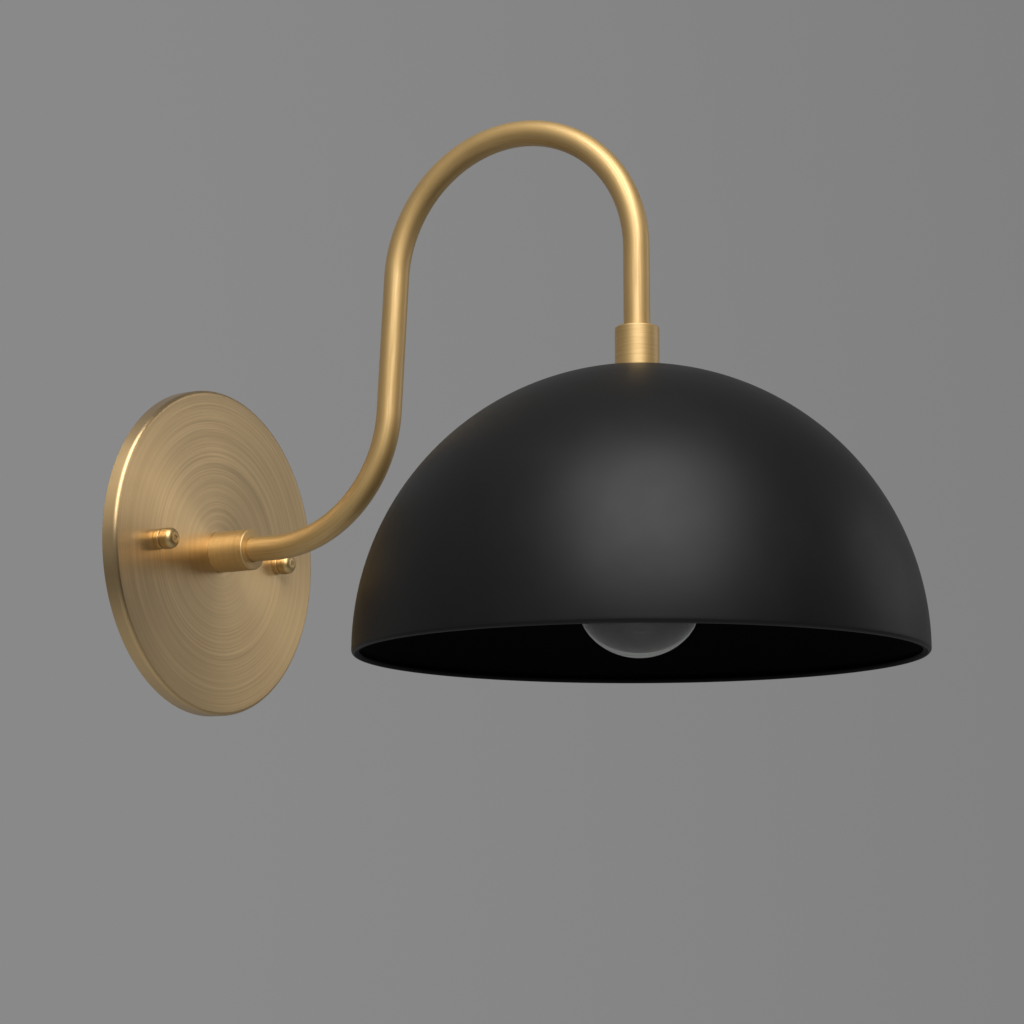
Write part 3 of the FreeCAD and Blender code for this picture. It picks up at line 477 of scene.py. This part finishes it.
def arm_line(along):
    """Centreline of the arm at given lengths along it: y, z and the heading angle from -Y up.

    It runs straight out of the wall, bends up by 90 degrees less the lean, rises straight, bends
    over by 180 degrees less the lean, and drops straight. A straight run adds
    length times (cos a, sin a); a bend of radius R adds R (sin a2 - sin a1, cos a1 - cos a2).
    """
    lead = TUBE_SEAT + 10.9 * MM
    rise, drop = 51.6 * MM, 29.3 * MM + TUBE_SEAT
    up = np.pi / 2 - LEAN
    over = up - (-np.pi / 2)
    runs = [(lead, 0.0), (BEND * up, 1 / BEND), (rise, 0.0), (BEND * over, -1 / BEND), (drop, 0.0)]
    ends = np.concatenate([[0], np.cumsum([run[0] for run in runs])])
    heading = np.zeros(len(along))
    reach = np.zeros(len(along))
    height = np.zeros(len(along))
    start_heading, start = 0.0, np.zeros(2)
    for (length, curve), first, last in zip(runs, ends[:-1], ends[1:]):
        inside = (along >= first) if first == 0 else (along > first)
        s = along[inside] - first
        if curve == 0:
            angle = np.full(len(s), start_heading)
            reach[inside] = start[0] + s * np.cos(start_heading)
            height[inside] = start[1] + s * np.sin(start_heading)
            step = length * np.array([np.cos(start_heading), np.sin(start_heading)])
        else:
            angle = start_heading + curve * s
            reach[inside] = start[0] + (np.sin(angle) - np.sin(start_heading)) / curve
            height[inside] = start[1] + (np.cos(start_heading) - np.cos(angle)) / curve
            final = start_heading + curve * length
            step = np.array([np.sin(final) - np.sin(start_heading),
                             np.cos(start_heading) - np.cos(final)]) / curve
            start_heading = final
        heading[inside] = angle
        start = start + step
    back = -(PLATE_DEPTH + COLLAR_LENGTH - TUBE_SEAT)
    return back - reach, height, heading, ends[-1]


def gooseneck():
    """Tube: a closed profile of (length along, radius) is carried along the centreline. The point
    at angle t is centre + radius (cos t X + sin t N), with N square to the heading."""
    total = arm_line(np.zeros(1))[3]
    out = np.linspace(0.3 * MM, total - 0.3 * MM, 420)
    inner = TUBE_RADIUS - 1.0 * MM
    back = out[::-6]
    s = np.concatenate([[0.0], out, [total, total], back, [0.0]])
    radius = np.concatenate([[TUBE_RADIUS - 0.3 * MM], np.full(len(out), TUBE_RADIUS),
                             [TUBE_RADIUS - 0.3 * MM, inner], np.full(len(back), inner), [inner]])
    y, z, heading, _ = arm_line(s)
    around = 64
    t = np.arange(around) * TURN / around
    across = radius[:, None] * np.cos(t)
    aside = radius[:, None] * np.sin(t)
    points = np.stack([across,
                       y[:, None] + aside * np.sin(heading)[:, None],
                       z[:, None] + aside * np.cos(heading)[:, None]], axis=-1)
    grain = np.stack([np.broadcast_to(s[:, None], across.shape), across, aside], axis=-1)
    quads, uv = grid_faces(len(s), around, True)
    piece("brushed_gooseneck", points.reshape(-1, 3), quads, uv, tube_brass,
          nodes=["gooseneck_arm"], grain=grain.reshape(-1, 3))


# ---------------------------------------------------------------- shade

def dome():
    """Half sphere with a flat crown round its hole, a short straight skirt and a round hem.

    The outside is radius (cos a, sin a) from the skirt up to the crown flat, the inside is the same
    arc less the wall, and the hem is a half circle as wide as twice its own radius. A darker black,
    painted shade on the shade's own black, runs from the hole over the inside and round under the hem.
    """
    middle = SKIRT
    flat = 9.0 * MM
    inner = SHADE_RADIUS - SHADE_WALL
    top = np.sqrt(SHADE_RADIUS ** 2 - flat ** 2)
    outside = arc_run((0, middle), SHADE_RADIUS, 0, np.arccos(flat / SHADE_RADIUS), 110)
    inside = arc_run((0, middle), inner, np.arcsin((top - SHADE_WALL) / inner), 0, 90)
    hem = arc_run((SHADE_RADIUS - HEM, HEM), HEM, -np.pi, 0, 17)
    profile = np.vstack([outside[:, :2], [[5.6 * MM, top + middle], [5.4 * MM, top + middle - 0.2 * MM],
                         [5.4 * MM, top + middle - SHADE_WALL]], inside[:, :2], hem[:, :2]])
    points, quads, uv = lathe(profile, 256)
    shade = piece("black_dome", upright(points, RIM), quads, uv, matte_black,
                  nodes=["dome_shade"])
    shade.data.materials.append(painted_shade_black)
    row = np.repeat(np.arange(len(profile)), 256)
    # The inside and the underside of the hem get the darker black: painted shade.
    painted_shade_rows = (row > len(outside)) & (row < len(outside) + 12 + len(inside))
    shade.data.polygons.foreach_set("material_index", painted_shade_rows.astype(np.int32))


# ---------------------------------------------------------------- lamp socket

def socket_housing():
    """Moulded cup: hub, rounded shoulder and skirt, with the ceiling inside."""
    radius, wall = 16.5 * MM, 2.2 * MM
    top, ceiling = 30.5 * MM, 28.3 * MM
    hub, head = 8 * MM, 34 * MM
    profile = softened([
        (PIPE_HOLE, ceiling, 0.1 * MM), (radius - wall, ceiling, 0.4 * MM),
        (radius - wall, 0, 0.4 * MM), (radius, 0, 0.5 * MM), (radius, top, 2.0 * MM),
        (hub, top, 0.5 * MM), (hub, head, 0.5 * MM), (PIPE_HOLE, head, 0.2 * MM)], segments=8)
    points, quads, uv = lathe(profile, 128)
    piece("moulded_socket", upright(points, HOUSING_FOOT), quads, uv, phenolic,
          nodes=["socket_housing"])


def threaded(radius, wall, low, high, start, end):
    """Rolled thread: the wall stands in by 0.8 mm times (1 - cos(2 pi (h / pitch - t / 2 pi))) / 2,
    faded in and out over 0.7 of a pitch at the heights start and end."""
    around, rows = 144, 170
    h = np.linspace(low, high, rows)[:, None]
    t = (np.arange(around) * TURN / around)[None, :]
    wave = (1 - np.cos(TURN * h / THREAD_PITCH - t)) / 2
    runout = 0.7 * THREAD_PITCH
    fade = np.clip((h - start) / runout, 0, 1) * np.clip((end - h) / runout, 0, 1)
    outer = radius - 0.8 * MM * wave * fade
    return h, t, outer, outer - wall


def screw_cap():
    """Threaded cap of the bulb. Above the thread it closes in a cone towards the insulator."""
    foot = BULB_TOP - CAP_LENGTH
    shoulder = BULB_TOP - 4.9 * MM
    end = BULB_TOP - 2.8 * MM
    wall = 0.25 * MM
    h, t, outer, inner = threaded(12.95 * MM, wall, foot, shoulder, foot + 5.8 * MM,
                                  shoulder + 0.4 * MM)
    shape = outer.shape
    cone_h = np.linspace(shoulder, end, 12)[1:, None]
    share = (cone_h - shoulder) / (end - shoulder)
    cone = outer[-1:] * (1 - share) + 8.1 * MM * share
    outer = np.vstack([outer, cone])
    inner = np.vstack([inner, cone - wall])
    height = np.vstack([np.broadcast_to(h, shape), np.broadcast_to(cone_h, cone.shape)])
    radius = np.vstack([outer, inner[::-1]])
    height = np.vstack([height, height[::-1] - 0.05 * MM])
    height = np.maximum(height, foot)
    points = np.stack([radius * np.cos(t), radius * np.sin(t), height], axis=-1)
    quads, uv = grid_faces(len(radius), radius.shape[1], True)
    piece("threaded_cap", upright(points), quads, uv, nickel_cap, body="bulb",
          nodes=["bulb_screw_base"])


def screw_shell():
    """Threaded shell of the socket, 0.3 mm outside the cap's thread, with its inward flange."""
    foot = SHELL_TOP - 21 * MM
    top = SHELL_TOP - 0.4 * MM
    h, t, outer, _ = threaded(13.25 * MM, 0.0, foot, top, foot + 0.2 * MM, top - 3.0 * MM)
    shape = outer.shape
    height = np.broadcast_to(h, shape)
    flange = np.array([9.65, 9.65, 13.65]) * MM
    flange_h = np.array([top, SHELL_TOP, SHELL_TOP])
    ring = np.broadcast_to(flange[:, None], (3, shape[1]))
    ring_h = np.broadcast_to(flange_h[:, None], (3, shape[1]))
    radius = np.vstack([outer, ring, (outer + 0.4 * MM)[::-1]])
    height = np.vstack([height, ring_h, height[::-1]])
    points = np.stack([radius * np.cos(t), radius * np.sin(t), height], axis=-1)
    quads, uv = grid_faces(len(radius), shape[1], True)
    piece("threaded_shell", upright(points), quads, uv, raw_brass, nodes=["socket_shell"])


# ---------------------------------------------------------------- bulb

def bulb_profile(inset):
    """Ball, hollow sweep and neck, from the bottom pole up. The ball's arc has its radius less the
    inset, the sweep's arc its radius plus the inset, and the two touch on the line of centres."""
    ball, sweep, neck = 23.8 * MM, 30.0 * MM, 11.2 * MM
    middle = ball - BULB_LENGTH
    away = neck + sweep
    lift = np.sqrt((ball + sweep) ** 2 - away ** 2)
    touch = np.arctan2(lift, away)
    low = arc_run((0, middle), ball - inset, -np.pi / 2, touch, 56)
    high = arc_run((away, middle + lift), sweep + inset, np.pi + touch, np.pi, 22)
    seal = CEMENT_LENGTH - CAP_LENGTH
    return np.vstack([low[:, :2], high[1:, :2], [[neck - inset, seal]]])


def envelope():
    """Glass shell between the bulb's outline and the same outline 0.7 mm inside it."""
    outline = np.vstack([bulb_profile(0.0), bulb_profile(0.7 * MM)[::-1]])
    outline[:, 0] = np.maximum(outline[:, 0], 0.0)
    points, quads, uv = lathe(outline, 144, closed=False)
    piece("blown_envelope", upright(points, BULB_TOP), quads, uv, bulb_glass,
          body="bulb", nodes=["bulb_envelope"])


def tip_contact():
    """Solder button: a low dome on a short rim."""
    profile = softened([(0, -1.5 * MM, 0), (4.7 * MM, -1.5 * MM, 0.1 * MM), (4.7 * MM, 0, 1.1 * MM),
                        (0, 0, 0)], segments=7)
    points, quads, uv = lathe(profile, 72, closed=False)
    piece("solder_tip", upright(points, BULB_TOP), quads, uv, solder, body="bulb_travel",
          nodes=["bulb_tip_contact"])


def filament_coil():
    """Fine coil between the posts: a wire of radius w along the helix (x, R cos a, R sin a)."""
    reach, helix, wire, turns = 7.0 * MM, 0.42 * MM, 0.11 * MM, 26
    count = turns * 18
    s = np.linspace(-1, 1, count)
    a = s * turns * np.pi
    stem, posts = 24.0 * MM, 15.0 * MM
    level = BULB_TOP - CAP_LENGTH + CEMENT_LENGTH - stem - posts
    line = np.column_stack([s * reach, helix * np.cos(a), helix * np.sin(a)])
    along = np.gradient(line, axis=0)
    along /= np.linalg.norm(along, axis=1)[:, None]
    away = np.column_stack([np.zeros(count), np.cos(a), np.sin(a)])
    aside = np.cross(along, away)
    t = np.arange(8) * TURN / 8
    width = np.full(count, wire)
    width[[0, -1]] = 0.0
    points = (line[:, None, :] + width[:, None, None]
              * (away[:, None, :] * np.cos(t)[:, None] + aside[:, None, :] * np.sin(t)[:, None]))
    quads, uv = grid_faces(count, 8, False)
    piece("filament_coil", upright(points, level), quads, uv, wire_metal, body="bulb",
          nodes=["bulb_filament"])


# ---------------------------------------------------------------- carried-over solids

def dress(finishes):
    """Gives each carried-over solid its material."""
    for node, material in finishes.items():
        mesh = frame["nodes"][node].data
        mesh.materials.clear()
        mesh.materials.append(material)


backplate()
collars()
ball_nuts()
nuts()
gooseneck()
dome()
socket_housing()
screw_cap()
screw_shell()
envelope()
tip_contact()
filament_coil()
dress({
    "crossbar": zinc, "plate_lock_washer": zinc, "shade_lock_washer": zinc, "left_stud": zinc,
    "right_stud": zinc, "socket_set_screw": zinc, "ground_screw": green_plate,
    "plate_nipple": raw_brass, "shade_nipple": raw_brass, "centre_contact": raw_brass,
    "contact_block": porcelain, "nipple_bushing": nylon, "live_lead": black_pvc,
    "neutral_lead": white_pvc, "live_lead_end": tinned, "neutral_lead_end": tinned,
    "bulb_stem": bulb_glass, "bulb_cement": cement, "bulb_base_insulator": black_glass,
    "left_filament_post": wire_metal, "right_filament_post": wire_metal,
})


# ---------------------------------------------------------------- stage, light and camera

def floor():
    """Plain pale floor well below the light."""
    mesh = bpy.data.meshes.new("pale_floor")
    half, level = 12.0, -1.5
    corners = [(-half, -half, level), (half, -half, level), (half, half, level), (-half, half, level)]
    mesh.from_pydata(corners, [], [(0, 1, 2, 3)])
    ground = bpy.data.objects.new("pale_floor", mesh)
    bpy.context.scene.collection.objects.link(ground)
    material, tree, shader = finish("pale_floor", {"Roughness": 0.8})
    cloud = noise(tree, place_of(tree), 3.0)
    pale = tinted(tree, cloud, (0.68, 0.68, 0.67), (0.72, 0.72, 0.71))
    tree.links.new(pale, shader.inputs["Base Color"])
    mesh.materials.append(material)


def lamp(name, place, aim, width, height, power):
    """Soft panel that faces its aim."""
    light = bpy.data.lights.new(name, "AREA")
    light.shape = "RECTANGLE"
    light.size = width
    light.size_y = height
    light.energy = power
    holder = bpy.data.objects.new(name, light)
    bpy.context.scene.collection.objects.link(holder)
    turn = (Vector(aim) - Vector(place)).to_track_quat("-Z", "Y")
    holder.matrix_world = Matrix.Translation(place) @ turn.to_matrix().to_4x4()


def world():
    """Plain surroundings: grey on the wall's side, dim on the room's, by the direction's +Y share."""
    surround = bpy.data.worlds.new("studio")
    bpy.context.scene.world = surround
    surround.use_nodes = True
    tree = surround.node_tree
    way = made(tree, "SeparateXYZ", {"Vector": made(tree, "TexCoord").outputs["Generated"]})
    wallward = spread(tree, way.outputs["Y"], 0.0, 1.0, start=-0.9, end=0.6)
    tree.links.new(tinted(tree, wallward, (0.10, 0.10, 0.10), (0.25, 0.25, 0.25)),
                   tree.nodes["Background"].inputs["Color"])


def camera():
    """Camera at the photograph's viewing angle: heading, pitch and roll in degrees, place in metres."""
    yaw, pitch, roll = np.radians([60.54, 9.635, 0.098])
    ahead = np.array([np.sin(yaw) * np.cos(pitch), np.cos(yaw) * np.cos(pitch), np.sin(pitch)])
    level = np.array([np.cos(yaw), -np.sin(yaw), 0.0])
    up = np.cross(level, ahead)
    right = np.cos(roll) * level + np.sin(roll) * up
    top = -np.sin(roll) * level + np.cos(roll) * up
    lens = bpy.data.cameras.new("camera")
    lens.sensor_width = 36.0
    lens.lens = 2283.09 / 1024 * 36.0
    lens.clip_start = 0.01
    holder = bpy.data.objects.new("camera", lens)
    bpy.context.scene.collection.objects.link(holder)
    place = np.array([-0.7103, -0.5383, -0.1332])
    rows = np.column_stack([right, top, -ahead, place])
    holder.matrix_world = Matrix([list(row) for row in rows] + [[0, 0, 0, 1]])
    bpy.context.scene.camera = holder


floor()
world()
lamp("key", (-1.00, -0.80, 1.15), (0, -0.17, 0.0), 1.4, 1.7, 40.0)
lamp("side", (1.04, -1.14, 0.40), (0, -0.05, 0.0), 0.8, 0.7, 1.5)
camera()
bpy.context.scene.view_settings.view_transform = "Standard"
